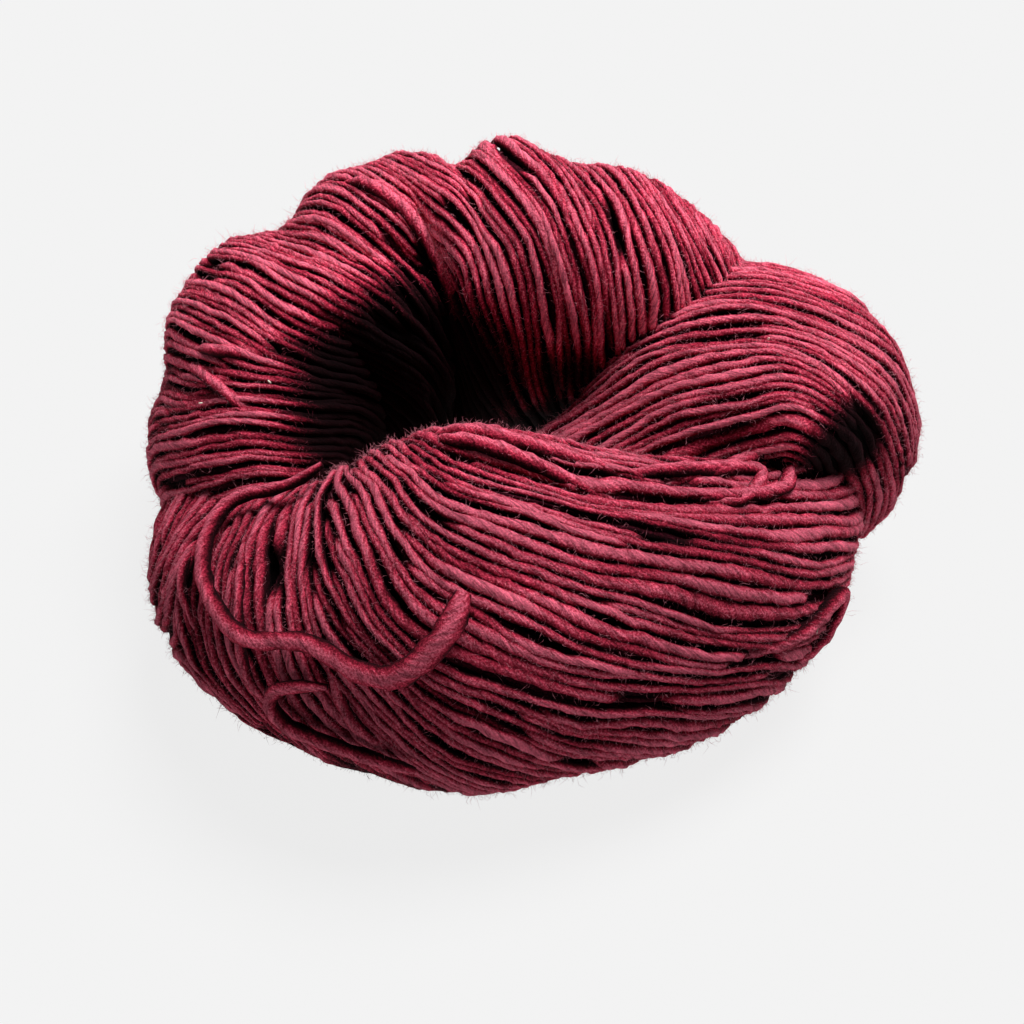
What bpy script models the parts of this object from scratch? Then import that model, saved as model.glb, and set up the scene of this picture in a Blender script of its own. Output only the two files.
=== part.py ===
# A hank of single-ply wool yarn, curled up on a table as it comes out of its twist.
# Metres, +Z up. The origin is on the table under the middle of the hank, which is
# seen from -Y with +X to the right.

import bpy
import numpy as np

MM = 0.001

YARN_DIAMETER = 3.4 * MM        # a chunky weight, loosely spun
FREE_END_DIAMETER = 2.4 * MM
CLEAR_OF_HANK = 1.0 * MM        # from the wound surface to a strand that lies on it
POINT_SPACING = 1.4             # along a loose strand, in diameters
MIDDLE = (-0.2, 3.3)            # of the whole hank's outline from above, in mm

# The hank is a soft rope in three lengths, each given by its sections in mm:
# x, y, z of the section's centre, half its width and half its height. The lengths
# run anticlockwise seen from above.
FRONT_SECTIONS = (
    (-38, 14, 13, 15, 12),
    (-44, 0, 17, 21, 18),
    (-42, -20, 20, 24, 20),
    (-26, -33, 26, 27, 27),
    (-12, -35, 29, 29, 31),
    (8, -34, 28, 25, 28),
    (26, -26, 24, 22, 25),
    (37, -11, 22, 20, 22),
    (38, 3, 21, 21, 21),
    (36, 14, 18, 17, 17),
)
BACK_SECTIONS = (
    (39, 12, 14, 11, 15),
    (33, 27, 25, 16, 26),
    (13, 38, 35, 24, 43),
    (-11, 41, 34, 28, 43),
    (-24, 38, 33, 29, 37),
    (-36, 30, 33, 29, 34),
    (-46, 17, 31, 25, 30),
    (-49, 0, 29, 17, 23),
    (-46, -18, 21, 8, 17),
)
TUCKED_SECTIONS = (
    (-17, -7, 10, 8, 10),
    (0, -5, 22, 13, 12),
    (20, 0, 33, 20, 13),
    (32, 8, 42, 24, 16),
    (44, 11, 42, 26, 18),
    (53, 9, 31, 18, 17),
    (50, 4, 15, 9, 12),
)

# The twist parts a length into bundles, with valleys between them. Places down each
# valley: mm along the length, degrees round it from the side that faces the eye, over
# the top, and the valley's depth and half width in mm.
FRONT_VALLEYS = (
    ((44, 96, 0, 5), (52, 118, 1.5, 5), (57, 145, 2, 5), (62, 175, 1.5, 5), (70, 205, 0, 5)),
    ((66, 104, 0, 5), (78, 112, 2, 5), (96, 120, 2, 5), (116, 128, 2, 5), (132, 134, 0, 5)),
    ((70, 142, 0, 5), (84, 158, 1.5, 5), (102, 170, 1.5, 5), (122, 178, 0, 5)),
)
BACK_VALLEYS = (
    ((88, 215, 0, 6), (92, 185, 5, 5), (97, 155, 5, 5), (101, 132, 5, 5), (102, 118, 4.5, 4.5),
     (99, 100, 4, 4.5), (92, 88, 3.5, 4.5), (85, 78, 3, 5), (82, 66, 1.5, 5), (80, 50, 0, 5)),
    ((69, 215, 0, 5), (69, 185, 5, 5), (68, 150, 5, 5), (68, 128, 4.5, 4.5), (66, 114, 3.5, 4),
     (63, 98, 3.5, 4), (62, 77, 2.5, 4), (61, 60, 0, 4)),
    ((53, 215, 0, 5), (52, 185, 3.5, 5), (52, 150, 3.5, 5), (51, 126, 3, 4.5), (49, 94, 1.5, 4.5),
     (46, 76, 0, 4.5)),
    ((110, 215, 0, 5), (116, 196, 3, 5), (122, 176, 3, 5), (126, 148, 2, 5), (131, 116, 0, 5)),
)
TUCKED_VALLEYS = (
    ((24, 90, 0, 4), (40, 100, 1.5, 5), (60, 112, 2, 5), (80, 120, 1.5, 5), (92, 126, 0, 4)),
)

# Strands that lie loose on the front length: mm along it, and degrees round it.
LOOSE_STRAND_ROUTE = (
    (55, 100),
    (50, 105),
    (44, 109),
    (40, 118),
    (42, 133),
    (45, 147),
    (49, 160),
    (54, 169),
    (59, 169),
    (63, 176),
    (68, 180),
    (72, 174),
    (75, 165),
    (76, 158),
)
FREE_END_ROUTE = (
    (61, 184),
    (58, 184),
    (55, 189),
    (55, 196),
    (58, 203),
    (63, 209),
    (68, 214),
)


def smooth_curve(rows, count):
    """Natural cubic spline through the rows, at even steps of the distance between them."""
    rows = np.array(rows, float)
    spans = np.linalg.norm(np.diff(rows[:, :3], axis=0), axis=1)
    knots = np.concatenate([[0.0], np.cumsum(spans)])
    last = len(rows) - 1
    matrix = np.eye(last + 1)
    bends = np.zeros_like(rows)
    for i in range(1, last):
        matrix[i, i - 1:i + 2] = spans[i - 1], 2 * (spans[i - 1] + spans[i]), spans[i]
        bends[i] = 6 * ((rows[i + 1] - rows[i]) / spans[i] - (rows[i] - rows[i - 1]) / spans[i - 1])
    bends = np.linalg.solve(matrix, bends)
    at = np.linspace(0.0, knots[-1], count)
    k = np.clip(np.searchsorted(knots, at) - 1, 0, last - 1)
    span = spans[k][:, None]
    to_next = knots[k + 1][:, None] - at[:, None]
    from_last = at[:, None] - knots[k][:, None]
    return ((bends[k] * to_next**3 + bends[k + 1] * from_last**3) / (6 * span)
            + (rows[k] / span - bends[k] * span / 6) * to_next
            + (rows[k + 1] / span - bends[k + 1] * span / 6) * from_last)


class Length:
    """One length of the wound rope, with a frame that turns with it and doesn't spin."""

    STEP = 1.3                  # mm between the stations worked out
    MOST_INWARD = 0.8           # of a bend's radius, how far the rope reaches into the bend
    VALLEY_PLACES = 8           # worked out for each one that is given

    def __init__(self, sections, valleys):
        stations = int(sum(np.linalg.norm(np.diff(np.array(sections)[:, :3], axis=0), axis=1)) / self.STEP)
        rows = smooth_curve(sections, stations)
        self.centre = rows[:, :3]
        self.half_width, self.half_height = rows[:, 3], rows[:, 4]
        steps = np.linalg.norm(np.diff(self.centre, axis=0), axis=1)
        self.along = np.concatenate([[0.0], np.cumsum(steps)])
        forward = np.gradient(self.centre, axis=0)
        forward /= np.linalg.norm(forward, axis=1)[:, None]
        side = np.cross([0.0, 0.0, 1.0], forward[0])
        self.side = np.zeros_like(self.centre)
        for i, direction in enumerate(forward):
            side = side - direction * side.dot(direction)
            side /= np.linalg.norm(side)
            self.side[i] = side
        self.up = np.cross(forward, self.side)
        self.bend = np.gradient(forward, axis=0) / np.gradient(self.along)[:, None]
        self.valleys = [self.places_down(valley) for valley in valleys]

    def places_down(self, valley):
        rows = np.array(valley, float)
        at = np.linspace(0, len(rows) - 1, self.VALLEY_PLACES * len(rows))
        return np.stack([np.interp(at, np.arange(len(rows)), column) for column in rows.T], -1)

    def read(self, values, along):
        columns = np.atleast_2d(values.T)
        read = np.stack([np.interp(along, self.along, column) for column in columns], -1)
        return read if values.ndim == 2 else read[..., 0]

    def press(self, along, offset):
        """The offset from the centre, shortened inside a bend, where the rope is pressed flat."""
        bend = self.read(self.bend, along)
        inward = (offset * bend).sum(-1)
        share = np.maximum(inward, 0.0) / self.MOST_INWARD
        pressed = inward / (1 + share ** 6) ** (1 / 6)
        sharpness = np.maximum((bend * bend).sum(-1), 1e-9)
        return offset + bend * ((pressed - inward) / sharpness)[..., None]

    def sunk(self, along, angle):
        """How deep the surface lies in the valleys, in mm."""
        radius = (self.read(self.half_width, along) + self.read(self.half_height, along)) / 2
        sunk = np.zeros(np.broadcast(along, angle).shape)
        for valley in self.valleys:
            nearest = np.full(sunk.shape, np.inf)
            deep = np.zeros(sunk.shape)
            for place, degrees, depth, half_width in valley:
                turn = (angle - np.radians(degrees) + np.pi) % (2 * np.pi) - np.pi
                apart = ((along - place) ** 2 + (radius * turn) ** 2) / half_width ** 2
                deep = np.where(apart < nearest, depth, deep)
                nearest = np.minimum(apart, nearest)
            sunk = sunk + deep * np.exp(-nearest)
        return sunk

    def surface(self, along, angle, lift=0.0):
        """Points in mm on the rope's surface, or lifted off it."""
        lift = lift - self.sunk(along, angle)
        across = (self.read(self.half_width, along) + lift) * np.cos(angle)
        upward = (self.read(self.half_height, along) + lift) * np.sin(angle)
        offset = (self.read(self.side, along) * across[..., None]
                  + self.read(self.up, along) * upward[..., None])
        return self.read(self.centre, along) + self.press(along, offset)


def to_world(points):
    """From the tables' mm to metres about the hank's own middle."""
    return (np.asarray(points) - (MIDDLE[0], MIDDLE[1], 0.0)) * MM


def wool(name, colour, roughness=0.95):
    material = bpy.data.materials.new(name)
    material.use_nodes = True
    shader = material.node_tree.nodes["Principled BSDF"]
    shader.inputs["Base Color"].default_value = (*colour, 1.0)
    shader.inputs["Roughness"].default_value = roughness
    shader.inputs["Metallic"].default_value = 0.0
    return material


def rope_length(name, length, rings, columns, material, rounding=6.5):
    """A closed mesh of one length of rope, with rounded ends."""
    total = length.along[-1]
    cap_turn = np.linspace(0.0, np.pi / 2, 4)[1:]
    cap = rounding * (1 - np.cos(cap_turn))
    inner = np.linspace(rounding, total - rounding, rings)[1:-1]
    along = np.concatenate([cap, inner, total - cap[::-1]])
    scale = np.concatenate([np.sin(cap_turn), np.ones(len(inner)), np.sin(cap_turn[::-1])])
    angle = np.linspace(0.0, 2 * np.pi, columns, endpoint=False)
    points = []
    for place, size in zip(along, scale):
        ring = length.surface(np.full(columns, place), angle)
        centre = length.read(length.centre, place)
        points += list(centre + (ring - centre) * size)
    first_tip = len(points)
    points += [length.centre[0], length.centre[-1]]
    faces = []
    for ring in range(len(along) - 1):
        for column in range(columns):
            beside = (column + 1) % columns
            a, b = ring * columns + column, ring * columns + beside
            faces.append((a, b, b + columns, a + columns))
    last_ring = (len(along) - 1) * columns
    for column in range(columns):
        beside = (column + 1) % columns
        faces.append((first_tip, beside, column))
        faces.append((first_tip + 1, last_ring + column, last_ring + beside))
    mesh = bpy.data.meshes.new(name)
    mesh.from_pydata([tuple(p) for p in to_world(points)], [], faces)
    mesh.materials.append(material)
    mesh.shade_smooth()
    rope = bpy.data.objects.new(name, mesh)
    bpy.context.collection.objects.link(rope)
    return rope


def hide_operand(operand):
    operand.hide_render = True
    operand.display_type = "WIRE"


def add_boolean(target, operand, operation):
    hide_operand(operand)
    boolean = target.modifiers.new(operand.name, "BOOLEAN")
    boolean.operation = operation
    boolean.solver = "EXACT"
    boolean.object = operand


def floor_block(size=0.2):
    """What the table takes away, so that the hank rests on small flat spots."""
    bpy.ops.mesh.primitive_cube_add(size=size, location=(0.0, 0.0, -size / 2))
    block = bpy.context.object
    block.name = "table_cut"
    return block


def strand(name, length, route, diameter, material):
    """A round strand that lies on a length of the rope, along a route over it."""
    route = np.array(route, float)
    lift = (diameter / 2 + CLEAR_OF_HANK) / MM
    laid = length.surface(route[:, 0], np.radians(route[:, 1]), lift)
    reach = np.linalg.norm(np.diff(laid, axis=0), axis=1).sum() * MM
    points = to_world(smooth_curve(laid, int(reach / (POINT_SPACING * diameter)) + 1))
    curve = bpy.data.curves.new(name, "CURVE")
    curve.dimensions = "3D"
    curve.bevel_depth = diameter / 2
    curve.bevel_resolution = 2
    curve.use_fill_caps = True
    spline = curve.splines.new("POLY")
    spline.points.add(len(points) - 1)
    for target, point in zip(spline.points, points):
        target.co = (*point, 1.0)
    curve.materials.append(material)
    laid_strand = bpy.data.objects.new(name, curve)
    bpy.context.collection.objects.link(laid_strand)
    return laid_strand


for old in list(bpy.data.objects):
    bpy.data.objects.remove(old)

front = Length(FRONT_SECTIONS, FRONT_VALLEYS)
back = Length(BACK_SECTIONS, BACK_VALLEYS)
tucked = Length(TUCKED_SECTIONS, TUCKED_VALLEYS)

burgundy = wool("burgundy_wool", (0.19, 0.018, 0.036))
hank = rope_length("hank", front, 42, 44, burgundy)
add_boolean(hank, rope_length("back_length", back, 88, 34, burgundy), "UNION")
add_boolean(hank, rope_length("tucked_length", tucked, 30, 32, burgundy), "UNION")
add_boolean(hank, floor_block(), "DIFFERENCE")

strand("loose_strand", front, LOOSE_STRAND_ROUTE, YARN_DIAMETER,
       wool("loose_strand_wool", (0.24, 0.024, 0.046)))
strand("free_end", front, FREE_END_ROUTE, FREE_END_DIAMETER,
       wool("free_end_wool", (0.22, 0.022, 0.042)))
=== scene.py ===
# A hank of chunky single-ply wool, burgundy with uneven dye, curled up on a pale table.
# Metres, +Z up, in the frame of the solids.

import math

import bpy
import numpy as np
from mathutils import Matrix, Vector
from mathutils.bvhtree import BVHTree


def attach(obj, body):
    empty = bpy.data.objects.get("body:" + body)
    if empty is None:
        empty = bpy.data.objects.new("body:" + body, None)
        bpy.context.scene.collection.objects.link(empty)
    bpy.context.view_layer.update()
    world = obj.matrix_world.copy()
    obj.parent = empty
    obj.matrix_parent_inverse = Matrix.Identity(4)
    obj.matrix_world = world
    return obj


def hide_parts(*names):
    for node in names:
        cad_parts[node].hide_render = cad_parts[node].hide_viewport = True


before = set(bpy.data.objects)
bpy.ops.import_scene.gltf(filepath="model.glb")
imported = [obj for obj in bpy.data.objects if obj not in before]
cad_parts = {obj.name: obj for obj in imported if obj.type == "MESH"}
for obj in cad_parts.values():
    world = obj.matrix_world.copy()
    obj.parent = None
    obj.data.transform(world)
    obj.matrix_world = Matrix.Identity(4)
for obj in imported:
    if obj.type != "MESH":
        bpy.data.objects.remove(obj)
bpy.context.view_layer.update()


# ---------------------------------------------------------------------------
# The camera looks down at the hank from the front, 42 degrees above the table,
# with a long lens, so that the hank fills three quarters of the frame.

MM = 0.001
CAMERA_HEIGHT_ANGLE = math.radians(42)
CAMERA_DISTANCE = 442 * MM
CAMERA_TARGET = Vector((-3.1, -3.3, 19.5)) * MM
FRAME_WIDTH_AT_TARGET = 184.9 * MM

camera_data = bpy.data.cameras.new("camera")
camera_data.sensor_width = 36
camera_data.lens = 36 * CAMERA_DISTANCE / FRAME_WIDTH_AT_TARGET
camera_data.clip_start = 0.01
camera = bpy.data.objects.new("camera", camera_data)
bpy.context.collection.objects.link(camera)
away = Vector((0, -math.cos(CAMERA_HEIGHT_ANGLE), math.sin(CAMERA_HEIGHT_ANGLE)))
camera.location = CAMERA_TARGET + CAMERA_DISTANCE * away
camera.rotation_euler = (math.pi / 2 - CAMERA_HEIGHT_ANGLE, 0, 0)
bpy.context.scene.camera = camera


# ---------------------------------------------------------------------------
# The rope. The skein's strands run side by side as one soft rope, which is
# twisted on itself and curls up. It shows in three lengths: the front one, the
# back one behind the eye, and the end that is tucked up through the eye.

MIDDLE = (-0.2, 3.3)
# mm: x, y, z of the section's centre, half its width, half its height. A program fitted the
# sections to the outline. They were then rounded to whole mm, and some rows were changed.
FRONT_SECTIONS = (
    (-38, 14, 13, 15, 12),
    (-44, 0, 17, 21, 18),
    (-42, -20, 20, 24, 20),
    (-26, -33, 26, 27, 27),
    (-12, -35, 29, 29, 31),
    (8, -34, 28, 25, 28),
    (26, -26, 24, 22, 25),
    (37, -11, 22, 20, 22),
    (38, 3, 21, 21, 21),
    (36, 14, 18, 17, 17),
)
BACK_SECTIONS = (
    (39, 12, 14, 11, 15),
    (33, 27, 25, 16, 26),
    (13, 38, 35, 24, 43),
    (-11, 41, 34, 28, 43),
    (-24, 38, 33, 29, 37),
    (-36, 30, 33, 29, 34),
    (-46, 17, 31, 25, 30),
    (-49, 0, 29, 17, 23),
    (-46, -18, 21, 8, 17),
)
TUCKED_SECTIONS = (
    (-17, -7, 10, 8, 10),
    (0, -5, 22, 13, 12),
    (20, 0, 33, 20, 13),
    (32, 8, 42, 24, 16),
    (44, 11, 42, 26, 18),
    (53, 9, 31, 18, 17),
    (50, 4, 15, 9, 12),
)

# The twist parts a length into bundles. Down each valley: mm along the length, degrees
# round it from the side that faces the eye, over the top, and depth and half width in mm.
FRONT_VALLEYS = (
    ((44, 96, 0, 5), (52, 118, 1.5, 5), (57, 145, 2, 5), (62, 175, 1.5, 5), (70, 205, 0, 5)),
    ((66, 104, 0, 5), (78, 112, 2, 5), (96, 120, 2, 5), (116, 128, 2, 5), (132, 134, 0, 5)),
    ((70, 142, 0, 5), (84, 158, 1.5, 5), (102, 170, 1.5, 5), (122, 178, 0, 5)),
)
BACK_VALLEYS = (
    ((88, 215, 0, 6), (92, 185, 5, 5), (97, 155, 5, 5), (101, 132, 5, 5), (102, 118, 4.5, 4.5),
     (99, 100, 4, 4.5), (92, 88, 3.5, 4.5), (85, 78, 3, 5), (82, 66, 1.5, 5), (80, 50, 0, 5)),
    ((69, 215, 0, 5), (69, 185, 5, 5), (68, 150, 5, 5), (68, 128, 4.5, 4.5), (66, 114, 3.5, 4),
     (63, 98, 3.5, 4), (62, 77, 2.5, 4), (61, 60, 0, 4)),
    ((53, 215, 0, 5), (52, 185, 3.5, 5), (52, 150, 3.5, 5), (51, 126, 3, 4.5), (49, 94, 1.5, 4.5),
     (46, 76, 0, 4.5)),
    ((110, 215, 0, 5), (116, 196, 3, 5), (122, 176, 3, 5), (126, 148, 2, 5), (131, 116, 0, 5)),
)
TUCKED_VALLEYS = (
    ((24, 90, 0, 4), (40, 100, 1.5, 5), (60, 112, 2, 5), (80, 120, 1.5, 5), (92, 126, 0, 4)),
)


def smooth_curve(rows, count):
    """Natural cubic spline through the rows, at even steps of the distance between them."""
    rows = np.array(rows, float)
    spans = np.linalg.norm(np.diff(rows[:, :3], axis=0), axis=1)
    knots = np.concatenate([[0.0], np.cumsum(spans)])
    last = len(rows) - 1
    matrix = np.eye(last + 1)
    bends = np.zeros_like(rows)
    for i in range(1, last):
        matrix[i, i - 1:i + 2] = spans[i - 1], 2 * (spans[i - 1] + spans[i]), spans[i]
        bends[i] = 6 * ((rows[i + 1] - rows[i]) / spans[i] - (rows[i] - rows[i - 1]) / spans[i - 1])
    bends = np.linalg.solve(matrix, bends)
    at = np.linspace(0.0, knots[-1], count)
    k = np.clip(np.searchsorted(knots, at) - 1, 0, last - 1)
    span = spans[k][:, None]
    to_next = knots[k + 1][:, None] - at[:, None]
    from_last = at[:, None] - knots[k][:, None]
    return ((bends[k] * to_next**3 + bends[k + 1] * from_last**3) / (6 * span)
            + (rows[k] / span - bends[k] * span / 6) * to_next
            + (rows[k + 1] / span - bends[k + 1] * span / 6) * from_last)


class Length:
    """One length of the wound rope, with a frame that turns with it and doesn't spin."""

    STEP = 1.3                  # mm between the stations worked out
    MOST_INWARD = 0.8           # of a bend's radius, how far the rope reaches into the bend
    VALLEY_PLACES = 8           # worked out for each one that is given

    def __init__(self, sections, valleys):
        stations = int(sum(np.linalg.norm(np.diff(np.array(sections)[:, :3], axis=0), axis=1)) / self.STEP)
        rows = smooth_curve(sections, stations)
        self.centre = rows[:, :3]
        self.half_width, self.half_height = rows[:, 3], rows[:, 4]
        steps = np.linalg.norm(np.diff(self.centre, axis=0), axis=1)
        self.along = np.concatenate([[0.0], np.cumsum(steps)])
        forward = np.gradient(self.centre, axis=0)
        forward /= np.linalg.norm(forward, axis=1)[:, None]
        side = np.cross([0.0, 0.0, 1.0], forward[0])
        self.side = np.zeros_like(self.centre)
        for i, direction in enumerate(forward):
            side = side - direction * side.dot(direction)
            side /= np.linalg.norm(side)
            self.side[i] = side
        self.up = np.cross(forward, self.side)
        self.bend = np.gradient(forward, axis=0) / np.gradient(self.along)[:, None]
        self.valleys = [self.places_down(valley) for valley in valleys]

    def places_down(self, valley):
        rows = np.array(valley, float)
        at = np.linspace(0, len(rows) - 1, self.VALLEY_PLACES * len(rows))
        return np.stack([np.interp(at, np.arange(len(rows)), column) for column in rows.T], -1)

    def read(self, values, along):
        columns = np.atleast_2d(values.T)
        read = np.stack([np.interp(along, self.along, column) for column in columns], -1)
        return read if values.ndim == 2 else read[..., 0]

    def press(self, along, offset):
        """The offset from the centre, shortened inside a bend, where the rope is pressed flat."""
        bend = self.read(self.bend, along)
        inward = (offset * bend).sum(-1)
        share = np.maximum(inward, 0.0) / self.MOST_INWARD
        pressed = inward / (1 + share ** 6) ** (1 / 6)
        sharpness = np.maximum((bend * bend).sum(-1), 1e-9)
        return offset + bend * ((pressed - inward) / sharpness)[..., None]

    def sunk(self, along, angle):
        """How deep the surface lies in the valleys, in mm."""
        radius = (self.read(self.half_width, along) + self.read(self.half_height, along)) / 2
        sunk = np.zeros(np.broadcast(along, angle).shape)
        for valley in self.valleys:
            nearest = np.full(sunk.shape, np.inf)
            deep = np.zeros(sunk.shape)
            for place, degrees, depth, half_width in valley:
                turn = (angle - np.radians(degrees) + np.pi) % (2 * np.pi) - np.pi
                apart = ((along - place) ** 2 + (radius * turn) ** 2) / half_width ** 2
                deep = np.where(apart < nearest, depth, deep)
                nearest = np.minimum(apart, nearest)
            sunk = sunk + deep * np.exp(-nearest)
        return sunk

    def surface(self, along, angle, lift=0.0):
        """Points in mm on the rope's surface, or lifted off it."""
        lift = lift - self.sunk(along, angle)
        across = (self.read(self.half_width, along) + lift) * np.cos(angle)
        upward = (self.read(self.half_height, along) + lift) * np.sin(angle)
        offset = (self.read(self.side, along) * across[..., None]
                  + self.read(self.up, along) * upward[..., None])
        return self.read(self.centre, along) + self.press(along, offset)


front = Length(FRONT_SECTIONS, FRONT_VALLEYS)
back = Length(BACK_SECTIONS, BACK_VALLEYS)
tucked = Length(TUCKED_SECTIONS, TUCKED_VALLEYS)


# ---------------------------------------------------------------------------
# The wool. One soft ply, spun with little twist, so that its fibres show as
# slanting streaks. It is dyed burgundy in a kettle, deeper in some places.

def linear(hex_colour, alpha=1.0):
    """An sRGB colour such as '#7a2233' as the linear values that a shader takes."""
    channels = [int(hex_colour[i:i + 2], 16) / 255 for i in (1, 3, 5)]
    return [c / 12.92 if c <= 0.04045 else ((c + 0.055) / 1.055) ** 2.4 for c in channels] + [alpha]


def node(tree, kind, inputs=None, **settings):
    """Add a node, set its properties, and set or link its inputs."""
    added = tree.nodes.new("ShaderNode" + kind)
    for name, value in settings.items():
        setattr(added, name, value)
    for name, value in (inputs or {}).items():
        if isinstance(value, bpy.types.NodeSocket):
            tree.links.new(value, added.inputs[name])
        else:
            added.inputs[name].default_value = value
    return added


def wool(name, colours, sheen=0.06):
    """Spun wool on a strand's own UV map: u in turns round it, v in metres along it.

    The colours are (mm, hex): how deep in the hank the surface counts as lying, which an attribute of
    the strands gives, and the colour painted there, darker the deeper: painted shade. The crests are painted
    paler and the sides and gaps darker, as painted highlight and shade, broken up by the fuzz of fibres.
    """
    material = bpy.data.materials.new(name)
    material.use_nodes = True
    tree = material.node_tree
    shader = tree.nodes["Principled BSDF"]
    uv = node(tree, "UVMap", uv_map="strand")
    parts = node(tree, "SeparateXYZ", {0: uv.outputs[0]})
    turn = node(tree, "Math", {0: parts.outputs[0], 1: 2 * math.pi}, operation="MULTIPLY")
    cosine = node(tree, "Math", {0: turn.outputs[0]}, operation="COSINE")
    sine = node(tree, "Math", {0: turn.outputs[0]}, operation="SINE")
    round_x = node(tree, "Math", {0: cosine.outputs[0], 1: 1.2 * MM}, operation="MULTIPLY")
    round_y = node(tree, "Math", {0: sine.outputs[0], 1: 1.2 * MM}, operation="MULTIPLY")
    stretched = node(tree, "Math", {0: parts.outputs[1], 1: 0.18}, operation="MULTIPLY")
    fibre_place = node(tree, "CombineXYZ", {0: round_x.outputs[0], 1: round_y.outputs[0],
                                            2: stretched.outputs[0]})
    strand_place = node(tree, "CombineXYZ", {0: round_x.outputs[0], 1: round_y.outputs[0],
                                             2: parts.outputs[1]})

    fibres = node(tree, "TexNoise", {"Vector": fibre_place.outputs[0], "Scale": 1 / (0.65 * MM),
                                     "Detail": 3.0, "Roughness": 0.7})
    slubs = node(tree, "TexNoise", {"Vector": strand_place.outputs[0], "Scale": 1 / (6 * MM),
                                    "Detail": 2.0})
    place = node(tree, "TexCoord")
    dye = node(tree, "TexNoise", {"Vector": place.outputs["Object"], "Scale": 1 / (28 * MM), "Detail": 1.5})
    fuzz = node(tree, "TexNoise", {"Vector": place.outputs["Object"], "Scale": 1 / (0.36 * MM),
                                   "Detail": 2.0, "Roughness": 0.7})

    shade_depth = node(tree, "Attribute", attribute_name="shade_depth")
    most = colours[-1][0]
    frayed = node(tree, "Math", {0: fuzz.outputs["Fac"], 1: -1.6, 2: 0.8}, operation="MULTIPLY_ADD")
    deepness = node(tree, "Math", {0: shade_depth.outputs["Fac"], 1: frayed.outputs[0]}, operation="ADD")
    depth_share = node(tree, "Math", {0: deepness.outputs[0], 1: most}, operation="DIVIDE")
    # the ramp holds the wool's colour at the crests and darkens it with depth: painted shade
    colour_and_shade = node(tree, "ValToRGB", {"Fac": depth_share.outputs[0]})
    ramp = colour_and_shade.color_ramp
    ramp.elements[0].position, ramp.elements[0].color = colours[0][0] / most, linear(colours[0][1])
    ramp.elements[1].position, ramp.elements[1].color = 1.0, linear(colours[-1][1])
    for depth, colour in colours[1:-1]:
        ramp.elements.new(depth / most).color = linear(colour)
    fibre_share = node(tree, "MapRange", {"Value": fibres.outputs["Fac"], "From Min": 0.34, "From Max": 0.66,
                                          "To Min": 0.5, "To Max": 1.55})
    dye_share = node(tree, "MapRange", {"Value": dye.outputs["Fac"], "From Min": 0.3, "From Max": 0.7,
                                        "To Min": 0.8, "To Max": 1.1})
    slub_share = node(tree, "MapRange", {"Value": slubs.outputs["Fac"], "From Min": 0.3, "From Max": 0.7,
                                         "To Min": 0.82, "To Max": 1.16})
    # the wool is drawn paler where the photo's light falls most, high up and at the back
    xyz = node(tree, "SeparateXYZ", {0: place.outputs["Object"]})
    height_share = node(tree, "MapRange", {"Value": xyz.outputs["Z"], "From Min": 26 * MM,
                                           "From Max": 64 * MM, "To Min": 0.86, "To Max": 1.32},
                        interpolation_type="SMOOTHSTEP")
    depth_from_front = node(tree, "MapRange", {"Value": xyz.outputs["Y"], "From Min": -45 * MM,
                                               "From Max": 20 * MM, "To Min": 0.8, "To Max": 1.2})
    place_share = node(tree, "Math", {0: height_share.outputs[0], 1: depth_from_front.outputs[0]},
                       operation="MULTIPLY")
    dye_and_slubs = node(tree, "Math", {0: dye_share.outputs[0], 1: slub_share.outputs[0]},
                         operation="MULTIPLY")
    fuzz_share = node(tree, "MapRange", {"Value": fuzz.outputs["Fac"], "From Min": 0.3, "From Max": 0.7,
                                         "To Min": 0.7, "To Max": 1.35})
    pile_share = node(tree, "Math", {0: fuzz_share.outputs[0], 1: fibre_share.outputs[0]},
                      operation="MULTIPLY")
    wide_share = node(tree, "Math", {0: dye_and_slubs.outputs[0], 1: place_share.outputs[0]},
                      operation="MULTIPLY")
    share = node(tree, "Math", {0: wide_share.outputs[0], 1: pile_share.outputs[0]}, operation="MULTIPLY")
    wool_colour = node(tree, "VectorMath", {0: colour_and_shade.outputs["Color"]}, operation="SCALE")
    tree.links.new(share.outputs[0], wool_colour.inputs["Scale"])
    tree.links.new(wool_colour.outputs[0], shader.inputs["Base Color"])

    pile = node(tree, "Math", {0: fibres.outputs["Fac"], 1: fuzz.outputs["Fac"]}, operation="ADD")
    bump = node(tree, "Bump", {"Height": pile.outputs[0], "Strength": 1.0, "Distance": 0.3 * MM})
    tree.links.new(bump.outputs[0], shader.inputs["Normal"])
    shader.inputs["Roughness"].default_value = 0.9
    shader.inputs["Specular IOR Level"].default_value = 0.05
    shader.inputs["Sheen Weight"].default_value = sheen
    shader.inputs["Sheen Roughness"].default_value = 0.5
    shader.inputs["Sheen Tint"].default_value = linear("#c05068")
    return material


# pale at the crests, near black deep down: painted highlight on the crests and painted shade in the gaps and
# under the turns
burgundy_wool = wool("burgundy_wool", ((0.0, "#c2586c"), (0.35, "#aa3046"), (0.8, "#741527"),
                                       (1.3, "#360a13"), (1.9, "#130507"), (2.8, "#050102")))


# ---------------------------------------------------------------------------
# How the strands lie. They swing out of the eye like the ribs of a fan, run along
# the front length, and wrap the back one and the end that is tucked up.

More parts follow.
